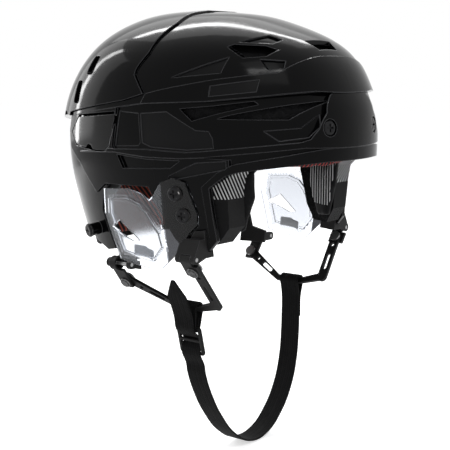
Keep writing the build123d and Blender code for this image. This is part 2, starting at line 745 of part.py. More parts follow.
# Front hangers, clipped over the lower edge of the shell
hanger_share = [
    (-0.463, -0.43), (-0.41, -0.438), (-0.388, -0.478), (-0.354, -0.535), (-0.328, -0.58),
    (-0.328, -0.612), (-0.463, -0.612),
]
hanger_slot_share = [(-0.50, -0.40), (-0.30, -0.40), (-0.30, -0.574), (-0.50, -0.574)]
hanger_web_reach = hanger_barrel_diameter * 2

with BuildPart() as front_hanger_left:
    add(side_block(hanger_share))
    add(dome(arm_level - hanger_gap - hanger_thickness), mode=Mode.INTERSECT)
    with BuildSketch(Plane.XZ.offset(front_knuckle_end)) as webs:
        with BuildLine():
            Polyline(
                (swing_axis_across - hanger_web_reach, -swing_axis_height + hanger_web_reach),
                (swing_axis_across - hanger_barrel_diameter / 2, -swing_axis_height + hanger_web_reach),
                (swing_axis_across + hanger_barrel_diameter / 2, -swing_axis_height),
                (swing_axis_across, -swing_axis_height - hanger_barrel_diameter / 2),
                (swing_axis_across - hanger_web_reach, -swing_axis_height + hanger_barrel_diameter / 7),
                close=True,
            )
        make_face()
        with Locations((swing_axis_across, -swing_axis_height)):
            Circle(hanger_barrel_diameter / 2)
    extrude(amount=front_knuckle_start - front_knuckle_end)
    guard_room = sheet(guard_raised, dome(arm_level), guard_share, grow=hanger_gap)
    add(guard_room, mode=Mode.SUBTRACT)
    add(dome(arm_level + arm_wall + hanger_gap + hanger_thickness), mode=Mode.SUBTRACT)
    with BuildPart(mode=Mode.PRIVATE) as shell_slot:
        add(side_block(hanger_slot_share))
        add(dome(arm_level - hanger_gap), mode=Mode.INTERSECT)
        add(dome(arm_level + arm_wall + hanger_gap), mode=Mode.SUBTRACT)
    add(shell_slot.part, mode=Mode.SUBTRACT)
    with BuildSketch(axis_plane.offset(front_knuckle_end + front_knuckle_width)):
        Circle(hanger_barrel_diameter / 2 + hanger_gap)
        with Locations((0, -hanger_barrel_diameter)):
            Rectangle(hanger_barrel_diameter + 2 * hanger_gap, hanger_barrel_diameter * 2)
    extrude(
        amount=front_knuckle_start - front_knuckle_end - 2 * front_knuckle_width,
        mode=Mode.SUBTRACT,
    )
    with BuildSketch(axis_plane.offset(front_knuckle_end - front_knuckle_width)):
        Circle(hanger_pin_diameter / 2 + hanger_pin_fit)
    extrude(amount=overrun / 5, mode=Mode.SUBTRACT)
front_hanger_left.part.label = "front_hanger_left"
export_step(front_hanger_left.part, "parts/front_hanger_left.step")
with BuildPart() as front_hanger_right:
    mirror(front_hanger_left.part, about=Plane.YZ)
front_hanger_right.part.label = "front_hanger_right"
export_step(front_hanger_right.part, "parts/front_hanger_right.step")

with BuildPart() as front_hanger_pins:
    with BuildSketch(axis_plane.offset(front_knuckle_end)):
        Circle(hanger_pin_diameter / 2)
    extrude(amount=front_knuckle_start - front_knuckle_end)
    mirror(about=Plane.YZ)
front_hanger_pins.part.label = "front_hanger_pins"
export_step(front_hanger_pins.part, "parts/front_hanger_pins.step")

# Front tabs, which swing on the hanger pins and carry the loops
front_rivet_share = (-0.991, 0.1857)
rear_rivet_share = (0.4464, 0.6143)
front_rivet = loop_point(front_rivet_share)
rear_rivet = loop_point(rear_rivet_share)
barrel_front = front_knuckle_start - front_knuckle_width - hanger_gap
barrel_rear = front_knuckle_end + front_knuckle_width + hanger_gap
rivet_hole_diameter = rivet_diameter + screw_play
tab_side = loop_plane.offset(loop_thickness / 2)

with BuildPart() as front_tab_left:
    with BuildSketch(axis_plane.offset(barrel_rear)):
        Circle(hanger_barrel_diameter / 2)
    extrude(amount=barrel_front - barrel_rear)
    with BuildSketch(tab_side):
        with BuildLine():
            Polyline(
                along(-barrel_front, 0),
                along(-barrel_rear, 0),
                along(-barrel_rear, tab_end_down),
                along(-front_knuckle_start, tab_end_down),
                along(-front_knuckle_start, tab_start_down),
                along(-barrel_front, tab_start_down),
                close=True,
            )
        make_face()
    extrude(amount=tab_thickness)
    with BuildSketch(axis_plane.offset(barrel_rear - hanger_gap)):
        Circle(hanger_pin_diameter / 2 + hanger_gap / 2)
    extrude(amount=barrel_front, mode=Mode.SUBTRACT)
    with BuildSketch(tab_side):
        with Locations(front_rivet):
            Circle(rivet_hole_diameter / 2)
    extrude(amount=tab_thickness, mode=Mode.SUBTRACT)
front_tab_left.part.label = "front_tab_left"
export_step(front_tab_left.part, "parts/front_tab_left.step")
with BuildPart() as front_tab_right:
    mirror(front_tab_left.part, about=Plane.YZ)
front_tab_right.part.label = "front_tab_right"
export_step(front_tab_right.part, "parts/front_tab_right.step")

# Rear tabs, with an eye that rides loosely on the rear hanger pin
eye_x, eye_z = swing_point(rear_eye_down)
eye_plane = Plane(origin=(eye_x, 0, eye_z), x_dir=(1, 0, 0), z_dir=(0, -1, 0))

with BuildPart() as rear_tab_left:
    with BuildSketch(eye_plane.offset(-rear_eye_end)):
        Circle(rear_eye_diameter / 2)
    extrude(amount=rear_eye_end - rear_eye_start)
    with BuildSketch(tab_side):
        with BuildLine():
            Polyline(
                along(rear_eye_start, rear_eye_down),
                along(rear_eye_end, rear_eye_down),
                along(rear_eye_end, rear_tab_start_down),
                along(rear_tab_rear, rear_tab_start_down),
                along(rear_tab_rear, rear_tab_end_down),
                along(rear_tab_front, rear_tab_end_down),
                along(rear_tab_front, rear_tab_start_down),
                along(rear_eye_start, rear_tab_start_down),
                close=True,
            )
        make_face()
    extrude(amount=tab_thickness)
    with BuildSketch(eye_plane.offset(-rear_eye_end)):
        Circle(rear_eye_bore / 2)
    extrude(amount=rear_eye_end - rear_eye_start, mode=Mode.SUBTRACT)
    with BuildSketch(tab_side):
        with Locations(rear_rivet):
            Circle(rivet_hole_diameter / 2)
    extrude(amount=tab_thickness, mode=Mode.SUBTRACT)
rear_tab_left.part.label = "rear_tab_left"
export_step(rear_tab_left.part, "parts/rear_tab_left.step")
with BuildPart() as rear_tab_right:
    mirror(rear_tab_left.part, about=Plane.YZ)
rear_tab_right.part.label = "rear_tab_right"
export_step(rear_tab_right.part, "parts/rear_tab_right.step")

# Loops, flat rounded triangles open in the middle
loop_corner_share = (-1.018, 0.884)
loop_bar_shares = [(-0.6786, 1.0), (-0.25, 1.0)]
front_slot_shares = [(-0.9982, 0.5179), (-1.009, 0.7321)]
rear_slot_shares = [(-0.0714, 0.8982), (0.1071, 0.8018)]
slot_hole_shares = [(-0.993, 0.3304), (0.2411, 0.7268)]


def wrap(start, end, start_radius, end_radius):
    """The outline wrapped round two circles."""
    with BuildSketch() as wrapped:
        with Locations(start):
            Circle(start_radius)
        with Locations(end):
            Circle(end_radius)
        make_hull()
    return wrapped.sketch


with BuildPart() as v_loop_left:
    with BuildSketch(loop_plane.offset(-loop_thickness / 2)):
        arm_radius = loop_arm_width / 2
        bar_radius = loop_bar_width / 2
        loop_corner = loop_point(loop_corner_share)
        bar_start, bar_end = [loop_point(shares) for shares in loop_bar_shares]
        add(wrap(front_rivet, loop_corner, arm_radius, arm_radius))
        add(wrap(loop_corner, bar_start, arm_radius * 0.8, bar_radius))
        add(wrap(bar_start, bar_end, bar_radius, bar_radius))
        add(wrap(bar_end, rear_rivet, bar_radius, arm_radius))
        for end_shares in (front_slot_shares, rear_slot_shares):
            slot_ends = [loop_point(shares) for shares in end_shares]
            add(wrap(*slot_ends, loop_slot_width / 2, loop_slot_width / 2), mode=Mode.SUBTRACT)
        with Locations(*[loop_point(shares) for shares in slot_hole_shares]):
            Circle(loop_slot_width / 2, mode=Mode.SUBTRACT)
        with Locations(front_rivet, rear_rivet):
            Circle(rivet_hole_diameter / 2, mode=Mode.SUBTRACT)
    extrude(amount=loop_thickness)
v_loop_left.part.label = "v_loop_left"
export_step(v_loop_left.part, "parts/v_loop_left.step")
with BuildPart() as v_loop_right:
    mirror(v_loop_left.part, about=Plane.YZ)
v_loop_right.part.label = "v_loop_right"
export_step(v_loop_right.part, "parts/v_loop_right.step")

# Rivets through the loops and tabs
rivet_grip = loop_thickness + tab_thickness + screw_play
rivet_start = loop_plane.offset(-loop_thickness / 2 - screw_play / 2)
rivet_end = rivet_start.offset(rivet_grip)
with BuildPart() as loop_rivets_left:
    with BuildSketch(rivet_start):
        with Locations(front_rivet, rear_rivet):
            Circle(rivet_diameter / 2)
    extrude(amount=rivet_grip)
    with BuildSketch(rivet_start):
        with Locations(front_rivet, rear_rivet):
            Circle(rivet_head_diameter / 2)
    extrude(amount=-rivet_head_height)
    with BuildSketch(rivet_end):
        with Locations(front_rivet, rear_rivet):
            Circle(rivet_head_diameter / 2)
    extrude(amount=rivet_head_height)
    chamfer(
        loop_rivets_left.edges().filter_by(GeomType.CIRCLE).filter_by(
            lambda edge: edge.radius > rivet_diameter
        ).group_by(Axis(loop_plane.origin, loop_plane.z_dir))[-1],
        length=rivet_head_height / 2,
    )
loop_rivets_left.part.label = "loop_rivets_left"
export_step(loop_rivets_left.part, "parts/loop_rivets_left.step")
with BuildPart() as loop_rivets_right:
    mirror(loop_rivets_left.part, about=Plane.YZ)
loop_rivets_right.part.label = "loop_rivets_right"
export_step(loop_rivets_right.part, "parts/loop_rivets_right.step")

# Ear rails inside the rear edge of the ear opening, each with a hanger for the rear tab
rail_share = [
    (0.16, -0.17), (0.22, -0.16), (0.32, -0.25), (0.35, -0.37), (0.32, -0.49), (0.262, -0.60),
    (0.262, -0.77), (0.082, -0.77), (0.082, -0.68), (0.19, -0.65), (0.24, -0.48), (0.27, -0.37),
    (0.24, -0.27),
]
rail_depth = rear_wall + pad_gap

with BuildPart() as ear_rail_left:
    add(side_block(rail_share))
    add(nape_dome(rail_depth), mode=Mode.INTERSECT)
    with BuildSketch(Plane.XZ.offset(-rear_pin_end)):
        with Locations((eye_x, eye_z)):
            Circle(hanger_barrel_diameter / 2)
        with Locations((eye_x - hanger_barrel_diameter * 1.5, eye_z)):
            Rectangle(hanger_barrel_diameter / 3, hanger_barrel_diameter)
        make_hull()
    extrude(amount=rear_pin_end - rear_pin_start)
    add(nape_dome(rail_depth + rail_thickness), mode=Mode.SUBTRACT)
    with BuildSketch(eye_plane.offset(-rear_pin_end + ear_reach)):
        Circle(rear_eye_diameter / 2 + ear_reach - hanger_gap * 3)
        with Locations((hanger_barrel_diameter, 0)):
            Rectangle(hanger_barrel_diameter * 2, hanger_barrel_diameter * 2)
    extrude(amount=rear_pin_end - rear_pin_start - ear_reach - front_ear_reach, mode=Mode.SUBTRACT)
    with BuildSketch(eye_plane.offset(-rear_pin_end)):
        Circle(hanger_pin_diameter / 2 + hanger_pin_fit)
    extrude(amount=rear_pin_end - rear_pin_start, mode=Mode.SUBTRACT)
ear_rail_left.part.label = "ear_rail_left"
export_step(ear_rail_left.part, "parts/ear_rail_left.step")
with BuildPart() as ear_rail_right:
    mirror(ear_rail_left.part, about=Plane.YZ)
ear_rail_right.part.label = "ear_rail_right"
export_step(ear_rail_right.part, "parts/ear_rail_right.step")

with BuildPart() as rear_hanger_pins:
    with BuildSketch(eye_plane.offset(-rear_pin_end)):
        Circle(hanger_pin_diameter / 2)
    extrude(amount=rear_pin_end - rear_pin_start)
    mirror(about=Plane.YZ)
rear_hanger_pins.part.label = "rear_hanger_pins"
export_step(rear_hanger_pins.part, "parts/rear_hanger_pins.step")

# Chin strap: one length of webbing, a short link and a slide buckle, all in one upright plane
# Front view places are shares of the half width and the crown height
bar_x, bar_z = swing_point(loop_drop)
strap_plane = Plane.XZ.offset(strap_middle)
buckle_share = (-0.6333, -1.239)
buckle_x, buckle_z = (buckle_share[0] * half_width, buckle_share[1] * crown_height)
up_x, up_z = (-sin(buckle_lean * pi / 180), cos(buckle_lean * pi / 180))
bar_pitch = (buckle_height - buckle_wire) / 2
wire_radius = buckle_wire / 2
weave = wire_radius + screw_play / 2 + webbing_thickness / 2
link_radius = wire_radius + screw_play / 2 + webbing_thickness
over_link = link_radius + over_link_play + webbing_thickness / 2


def buckle_point(up, out):
    """The x and z of a point near the buckle: along it upwards and away from the face."""
    return (buckle_x + up * up_x - out * up_z, buckle_z + up * up_z + out * up_x)


def front_points(shares):
    """Front view points from shares of the half width and the crown height."""
    return [(x * half_width, z * crown_height) for x, z in shares]


bottom_run_shares = [
    (-0.570, -1.487), (-0.491, -1.664), (-0.380, -1.832), (-0.213, -2.004), (-0.009, -2.106),
    (0.204, -2.093), (0.380, -1.982), (0.514, -1.814), (0.588, -1.619), (0.6157, -1.416),
    (0.6213, -1.292),
]
tail_run_shares = [(-0.715, -1.071), (-0.750, -0.982), (-0.792, -0.894), (-0.829, -0.796)]
left_run_shares = [(0.6213, -1.124), (0.6213, -1.283)]
right_curve = [buckle_point(-bar_pitch * 1.9, 0), *front_points(bottom_run_shares)]
tail_curve = [
    buckle_point(-bar_pitch * 1.9, 0),
    buckle_point(-bar_pitch * 1.12, weave),
    buckle_point(-bar_pitch * 0.88, weave),
    buckle_point(-bar_pitch / 8, -weave),
    buckle_point(bar_pitch / 8, -weave),
    buckle_point(bar_pitch * 0.62, weave),
    buckle_point(bar_pitch, over_link),
    *front_points(tail_run_shares),
]
(left_run_x, run_top), (_, sewn_end) = front_points(left_run_shares)

with BuildPart() as chin_webbing:
    with BuildSketch(strap_plane):
        with BuildLine() as run:
            Spline(*right_curve)
            Line((left_run_x, right_curve[-1][1]), (left_run_x, run_top))
        trace(line_width=webbing_thickness)
        with BuildLine() as tail:
            Spline(*tail_curve)
        trace(tail.edges(), line_width=webbing_thickness)
        with Locations((bar_x, bar_z)):
            Circle(webbing_eye_radius + webbing_thickness)
        with BuildLine():
            Polyline(
                (bar_x - webbing_eye_radius - webbing_thickness, bar_z),
                (left_run_x - webbing_thickness / 2, run_top),
                (left_run_x - webbing_thickness / 2, sewn_end),
                (left_run_x + webbing_thickness * 1.4, sewn_end),
                (left_run_x + webbing_thickness * 1.4, run_top),
                (bar_x + webbing_eye_radius + webbing_thickness, bar_z),
                close=True,
            )
        make_face()
        with Locations((bar_x, bar_z)):
            Circle(webbing_eye_radius, mode=Mode.SUBTRACT)
        with BuildLine():
            Polyline(
                (bar_x - webbing_eye_radius, bar_z),
                (left_run_x + webbing_thickness / 2, run_top),
                (bar_x + webbing_eye_radius, bar_z),
                close=True,
            )
        make_face(mode=Mode.SUBTRACT)
    extrude(amount=webbing_width / 2, both=True)
chin_webbing.part.label = "chin_webbing"
export_step(chin_webbing.part, "parts/chin_webbing.step")

link_top = (-bar_x - link_offset, bar_z)
link_bottom = buckle_point(bar_pitch, 0)
with BuildPart() as link_strap:
    with BuildSketch(strap_plane):
        add(wrap(link_top, link_bottom, webbing_eye_radius + webbing_thickness, link_radius))
        add(
            wrap(link_top, link_bottom, webbing_eye_radius, link_radius - webbing_thickness),
            mode=Mode.SUBTRACT,
        )
    extrude(amount=webbing_width / 2, both=True)
link_strap.part.label = "link_strap"
export_step(link_strap.part, "parts/link_strap.step")

buckle_plane = Plane(
    origin=(buckle_x, -strap_middle, buckle_z), x_dir=(0, 1, 0), z_dir=(up_z, 0, -up_x)
)
with BuildPart() as strap_buckle:
    with BuildSketch(buckle_plane):
        RectangleRounded(buckle_width, buckle_height, buckle_wire)
        with Locations((0, bar_pitch / 2), (0, -bar_pitch / 2)):
            Rectangle(buckle_width - 2 * buckle_wire, bar_pitch - buckle_wire, mode=Mode.SUBTRACT)
    extrude(amount=wire_radius, both=True)
    fillet(strap_buckle.edges().filter_by(Axis.Y), radius=wire_radius * 0.9)
strap_buckle.part.label = "strap_buckle"
export_step(strap_buckle.part, "parts/strap_buckle.step")
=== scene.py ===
import json
from math import cos, pi, radians, sin

import bmesh
import bpy
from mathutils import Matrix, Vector
from mathutils.bvhtree import BVHTree


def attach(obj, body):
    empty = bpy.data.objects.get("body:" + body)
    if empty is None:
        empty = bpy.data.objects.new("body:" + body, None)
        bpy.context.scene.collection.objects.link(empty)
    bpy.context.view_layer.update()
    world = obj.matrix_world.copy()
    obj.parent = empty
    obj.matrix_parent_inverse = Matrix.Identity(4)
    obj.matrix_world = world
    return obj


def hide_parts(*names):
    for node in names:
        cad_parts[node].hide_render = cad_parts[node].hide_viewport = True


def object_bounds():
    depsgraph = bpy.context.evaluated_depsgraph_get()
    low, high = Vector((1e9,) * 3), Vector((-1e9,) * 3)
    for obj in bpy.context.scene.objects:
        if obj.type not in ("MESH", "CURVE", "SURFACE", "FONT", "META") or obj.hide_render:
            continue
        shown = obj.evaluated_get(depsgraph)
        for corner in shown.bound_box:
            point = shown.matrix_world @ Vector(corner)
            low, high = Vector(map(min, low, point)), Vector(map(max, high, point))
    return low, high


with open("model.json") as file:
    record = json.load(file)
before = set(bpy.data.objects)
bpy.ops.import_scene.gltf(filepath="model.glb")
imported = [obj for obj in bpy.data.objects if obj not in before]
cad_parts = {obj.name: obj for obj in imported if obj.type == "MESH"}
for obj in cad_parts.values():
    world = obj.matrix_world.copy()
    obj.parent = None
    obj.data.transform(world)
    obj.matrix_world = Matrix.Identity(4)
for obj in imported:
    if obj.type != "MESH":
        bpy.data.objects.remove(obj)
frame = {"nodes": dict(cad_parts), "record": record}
cad_box = [list(corner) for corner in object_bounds()]
print("CAD box in metres:", cad_box)

# %% [markdown]
# # An ice hockey helmet, dressed in Blender
#
# The solids of the helmet come from a CAD model. They carry the sizes and the joints, so nothing is
# moved here: each piece is copied from its solid or built over it, gets a finish, and rides on the
# body that moves it. Lengths are in metres, +Z is up and the wearer faces -Y.
#
# First comes the camera. A product photograph is taken from some way off with a long lens, which
# keeps the near side of the helmet from bulging. A camera is set up by the point that it looks at,
# the direction back from there and the distance, because those three can be read off a photograph
# one after another.

# %% Camera
mm = 0.001
looked_at = Vector((10.3, 0.0, -62.0)) * mm
way_back = Vector((-0.7796, -0.6091, 0.1461))
camera_distance = 900 * mm

camera_data = bpy.data.cameras.new("photo_camera")
camera_data.sensor_width = 36.0
camera_data.lens = 86.16
camera_data.clip_start = 10 * mm
camera = bpy.data.objects.new("photo_camera", camera_data)
camera.location = looked_at + way_back * camera_distance
camera.rotation_euler = (-way_back).to_track_quat("-Z", "Y").to_euler()
bpy.context.scene.collection.objects.link(camera)
bpy.context.scene.camera = camera
print("camera at", [round(c, 3) for c in camera.location])

# %% [markdown]
# ## Node trees that read as formulas
#
# Every finish below is made of nodes, not of pictures, so it has no seams and no fixed resolution.
# Long node trees are hard to read as code. The small class here wraps one socket, so that
# `0.1 + grain * 0.05` adds its Math nodes by itself, and any other node comes from one method.

# %% Sockets with operators
class Value:
    """A socket of a node tree that can be used in sums."""

    def __init__(self, recipe, socket):
        self.recipe = recipe
        self.socket = socket

    def math(self, operation, *terms):
        settings = {"operation": operation}
        return self.recipe.node("ShaderNodeMath", settings, dict(enumerate(terms)))

    def __add__(self, other):
        return self.math("ADD", self, other)

    def __radd__(self, other):
        return self.math("ADD", other, self)

    def __sub__(self, other):
        return self.math("SUBTRACT", self, other)

    def __rsub__(self, other):
        return self.math("SUBTRACT", other, self)

    def __mul__(self, other):
        return self.math("MULTIPLY", self, other)

    def __rmul__(self, other):
        return self.math("MULTIPLY", other, self)

    def __truediv__(self, other):
        return self.math("DIVIDE", self, other)

    def __gt__(self, other):
        return self.math("GREATER_THAN", self, other)

    def __lt__(self, other):
        return self.math("LESS_THAN", self, other)

    def fold(self, half):
        """Goes up and down again between zero and half, over and over."""
        return self.math("PINGPONG", self, half)

    def eased(self, low, high):
        """Runs from 0 at low to 1 at high, without corners."""
        settings = {"interpolation_type": "SMOOTHSTEP"}
        inputs = {"Value": self, "From Min": low, "From Max": high}
        return self.recipe.node("ShaderNodeMapRange", settings, inputs)


class Recipe:
    """The node tree of one finish."""

    def __init__(self, owner):
        owner.use_nodes = True
        self.owner = owner
        self.tree = owner.node_tree

    def node(self, kind, settings=None, inputs=None, output=0):
        """Adds a node: its settings first, then the values or links of its sockets."""
        made = self.tree.nodes.new(kind)
        for name, setting in (settings or {}).items():
            setattr(made, name, setting)
        for name, given in (inputs or {}).items():
            self.feed(made.inputs[name], given)
        return Value(self, made.outputs[output]) if made.outputs else None

    def feed(self, socket, given):
        """Links a Value to a socket, or writes a number or colour on it."""
        if isinstance(given, Value):
            self.tree.links.new(given.socket, socket)
        elif socket.type == "RGBA" and len(given) == 3:
            socket.default_value = (*given, 1.0)
        else:
            socket.default_value = given

    def blend(self, share, first, second):
        """A colour between two colours."""
        inputs = {0: share, 6: first, 7: second}
        return self.node("ShaderNodeMix", {"data_type": "RGBA"}, inputs, output=2)


print("sockets can be added, multiplied and compared")

# %% [markdown]
# ## Floor, background and light
#
# The helmet is shown in a white room. The floor is a plain pale sheet that keeps the soft shadow.
# Black gloss shows hardly any colour of its own, only what it mirrors. A white world gives an even
# dark grey, a large soft lamp gives a broad pale sheen, and a narrow bright strip in front of it gives
# the crisp lines along the edges. So each lamp here is a pair: a wide one and a strip. The world is
# plain white for the camera and for mirrored rays, and dimmer for the light on the helmet.

# %% Floor and world
floor_drop = 1 * mm
floor_height = cad_box[0][2] - floor_drop
floor_reach = 6.0

floor_mesh = bpy.data.meshes.new("floor")
sheet = bmesh.new()
bmesh.ops.create_grid(sheet, x_segments=2, y_segments=2, size=floor_reach)
bmesh.ops.translate(sheet, verts=sheet.verts, vec=(0, 0, floor_height))
sheet.to_mesh(floor_mesh)
sheet.free()
floor = bpy.data.objects.new("floor", floor_mesh)
bpy.context.scene.collection.objects.link(floor)

pale = Recipe(bpy.data.materials.new("pale_floor"))
pale.tree.nodes.clear()
path = pale.tree.nodes.new("ShaderNodeLightPath")
seen = Value(pale, path.outputs["Is Camera Ray"]) + Value(pale, path.outputs["Is Glossy Ray"])
seen = seen + Value(pale, path.outputs["Is Transmission Ray"])
matt = pale.node("ShaderNodeBsdfDiffuse", inputs={"Color": (0.82, 0.82, 0.82)})
glow = pale.node("ShaderNodeEmission", inputs={"Color": (1.0, 1.0, 1.0), "Strength": seen * 0.60})
both = pale.node("ShaderNodeAddShader", inputs={0: matt, 1: glow})
pale.node("ShaderNodeOutputMaterial", inputs={"Surface": both})
floor_mesh.materials.append(pale.owner)

world = bpy.data.worlds.new("white_room")
bpy.context.scene.world = world
room = Recipe(world)
room.tree.nodes.clear()
path = room.tree.nodes.new("ShaderNodeLightPath")
seen = Value(room, path.outputs["Is Camera Ray"]) + Value(room, path.outputs["Is Glossy Ray"])
seen = seen + Value(room, path.outputs["Is Transmission Ray"])
fill = room.node("ShaderNodeBackground", inputs={"Color": (0.97, 0.98, 1.0), "Strength": 0.50})
white = room.node("ShaderNodeBackground", inputs={"Color": (1.0, 1.0, 1.0), "Strength": 1.0})
shown = room.node("ShaderNodeMixShader", inputs={0: seen.math("MINIMUM", seen, 1.0), 1: fill, 2: white})
room.node("ShaderNodeOutputWorld", inputs={"Surface": shown})
print("floor at", round(floor_height, 4))


# %% Lamps
def soft_lamp(name, place, size, power):
    """A large soft lamp that faces the helmet."""
    data = bpy.data.lights.new(name, "AREA")
    data.shape = "RECTANGLE"
    data.size, data.size_y = size
    data.energy = power
    lamp = bpy.data.objects.new(name, data)
    lamp.location = place
    lamp.rotation_euler = (looked_at - Vector(place)).to_track_quat("-Z", "Y").to_euler()
    lamp.visible_camera = False
    bpy.context.scene.collection.objects.link(lamp)


view_left = Vector((-0.616, 0.788, 0.0))
behind = Vector((0.788, 0.616, 0.0))
up = Vector((0.0, 0.0, 1.0))
# the place of each pair, then size in metres and watts of its wide lamp, and the same of its strip
lamp_places = {
    "side": (view_left * 1.15 + behind * 0.75 + up * 0.45, (1.1, 1.2), 6.5, (0.12, 1.2), 7.5),
    "back": (behind * 1.1 + up * 1.15, (1.6, 0.9), 5.5, (1.4, 0.10), 7.5),
    "front": (behind * -1.0 + view_left * -0.6 + up * 1.5, (0.9, 0.9), 3.5, (0.9, 0.08), 5.0),
}
strip_share = 0.98
for name, (place, wide, soft_power, narrow, strip_power) in lamp_places.items():
    soft_lamp(name + "_lamp", place, wide, soft_power)
    soft_lamp(name + "_strip", place * strip_share, narrow, strip_power)
bpy.context.scene.view_settings.view_transform = "Standard"
print("three pairs of lamps")

# %% [markdown]
# ## Finishes
#
# A finish is one Principled shader. Its pattern is worked out from the place on the piece, which is
# in metres, so a weave of 0.7 mm is written as 0.7 mm. The Bevel node rounds the look of a crisp
# edge, which is where black plastic catches the light, and the same node tells where an edge is, so
# that a painted highlight can make the colour a shade paler there. The numbers that are the same all
# over a piece are written on the shader's own sockets.

# %% One shader for every finish
bevel_samples = 6
crisp_from, crisp_to = 0.01, 0.15


class Finish(Recipe):
    """A material with one Principled shader."""

    def __init__(self, name):
        super().__init__(bpy.data.materials.new(name))
        self.tree.nodes.clear()
        self.place = self.node("ShaderNodeTexCoord", output="Object")

    def parts(self, vector):
        """The x, y and z of a vector, as three Values."""
        split = self.node("ShaderNodeSeparateXYZ", inputs={0: vector}).socket.node
        return [Value(self, out) for out in split.outputs]

    def noise(self, grain, detail=2.0):
        """A cloudy pattern whose lumps are about grain metres across."""
        inputs = {"Vector": self.place, "Scale": 1.0 / grain, "Detail": detail}
        return self.node("ShaderNodeTexNoise", inputs=inputs)

    def angle(self, x, y):
        """The angle round the helmet's upright axis."""
        return self.node("ShaderNodeMath", {"operation": "ARCTAN2"}, {0: x, 1: y})

    def edge(self, radius):
        """Near one along crisp edges: there the rounded normal leans away from the plain one."""
        rounded = self.node("ShaderNodeBevel", {"samples": bevel_samples}, {"Radius": radius})
        plain = self.node("ShaderNodeNewGeometry", output="Normal")
        inputs = {0: rounded, 1: plain}
        agreement = self.node("ShaderNodeVectorMath", {"operation": "DOT_PRODUCT"}, inputs, output="Value")
        return (1.0 - agreement).eased(crisp_from, crisp_to)

    def shade(self, colour, roughness, height=None, depth=0.0, rounding=0.0, plain=None):
        """Adds the shader. height times depth is the relief in metres, rounding the edge radius."""
        inputs = {"Base Color": colour, "Roughness": roughness, **(plain or {})}
        normal = None
        if rounding:
            normal = self.node("ShaderNodeBevel", {"samples": bevel_samples}, {"Radius": rounding})
        if height is not None:
            relief = {"Height": height, "Distance": depth}
            if normal:
                relief["Normal"] = normal
            normal = self.node("ShaderNodeBump", inputs=relief)
        if normal:
            inputs["Normal"] = normal
        surface = self.node("ShaderNodeBsdfPrincipled", inputs=inputs)
        self.node("ShaderNodeOutputMaterial", inputs={"Surface": surface})
        return self.owner


print("finishes come from one shader")

# %% [markdown]
# The shell is injection moulded in black plastic. Polished parts of the mould leave gloss, and etched
# parts leave the satin of the recessed panels. Gloss is a low roughness that wanders a little, with
# a faint ripple in the surface, because a perfect mirror looks like glass. Satin is the same plastic
# with a fine grain, which spreads the light and so looks a shade paler.

# %% Gloss and satin plastic
# painted highlight: a pale colour along crisp edges stands in for the light that they catch
painted_edge_highlight = (0.09, 0.09, 0.095)
edge_highlight_share = 0.8


def gloss_plastic(name, colour, rounding, mirror=0.10):
    """Polished black plastic with a faint ripple, handling haze and a painted edge highlight."""
    finish = Finish(name)
    haze = finish.noise(60 * mm, 4.0)
    ripple = finish.noise(9 * mm, 1.0)
    roughness = 0.07 + haze.eased(0.35, 0.75) * 0.09
    deep = [c * 0.8 for c in colour]
    tint = finish.blend(finish.noise(30 * mm), deep, colour)
    # painted highlight: the colour turns paler along crisp edges
    tint = finish.blend(finish.edge(rounding) * edge_highlight_share, tint, painted_edge_highlight)
    plain = {"Specular IOR Level": mirror}
    return finish.shade(tint, roughness, ripple, 0.02 * mm, rounding, plain)


def satin_plastic(name, colour, rounding, roughness=0.42, mirror=0.12):
    """The same plastic from an etched part of the mould, with a painted edge highlight."""
    finish = Finish(name)
    grain = finish.noise(0.45 * mm, 3.0)
    cloud = finish.noise(25 * mm, 3.0)
    pale = [c * 1.25 for c in colour]
    tint = finish.blend(cloud, colour, pale)
    # painted highlight: the colour turns paler along crisp edges
    tint = finish.blend(finish.edge(rounding) * edge_highlight_share, tint, painted_edge_highlight)
    plain = {"Specular IOR Level": mirror}
    return finish.shade(tint, roughness + grain * 0.12, grain, 0.03 * mm, rounding, plain)


shell_gloss = gloss_plastic("shell_gloss", (0.0024, 0.0024, 0.0027), 1.1 * mm, 0.07)
latch_gloss = gloss_plastic("latch_gloss", (0.0038, 0.0037, 0.0038), 0.7 * mm, 0.16)
shell_satin = satin_plastic("shell_satin", (0.0030, 0.0030, 0.0033), 0.9 * mm, 0.36, 0.10)
black_nylon = satin_plastic("black_nylon", (0.0070, 0.0068, 0.0068), 0.5 * mm, 0.50, 0.15)
print("gloss, satin and nylon")

# %% [markdown]
# The ear guards are clear polycarbonate. Their raised middle is frosted by fine scratches and looks
# milky, and the rim is clear. Light enters and leaves such a sheet, so both use Transmission, and
# the frosted one keeps some of its own grey. The flange with the screws lies flat on the black shell,
# and the sheet is given a dark colour there.

# %% Clear and frosted polycarbonate
def clear_plastic(name, colour, roughness, share, index, flange_dark=None):
    """Clear plastic that lets a share of the light through, with a dark colour on the flange."""
    finish = Finish(name)
    scratches = finish.noise(1.5 * mm, 6.0)
    wander = finish.noise(20 * mm, 3.0)
    plain = {"Transmission Weight": share, "IOR": index, "Specular IOR Level": 0.22}
    roughness = roughness * (0.7 + wander * 0.6)
    if flange_dark:
        on_flange = finish.parts(finish.place)[1] < flange_ahead_of
        colour = finish.blend(on_flange, colour, flange_dark)
    return finish.shade(colour, roughness, scratches, 0.004 * mm, 0.5 * mm, plain)


flange_ahead_of = -30 * mm
guard_clear = clear_plastic("guard_clear", (0.80, 0.83, 0.88), 0.05, 0.97, 1.3, (0.035, 0.036, 0.040))
guard_frosted = clear_plastic("guard_frosted", (0.56, 0.58, 0.62), 0.14, 0.93, 1.5)
print("clear and frosted guard")

# %% [markdown]
# The liners are expanded foam, moulded from beads that are squeezed into many-sided cells. A Voronoi
# pattern is made of just such cells: the distance to the nearest edge sinks the seams between the
# beads, and each bead gets its own shade.

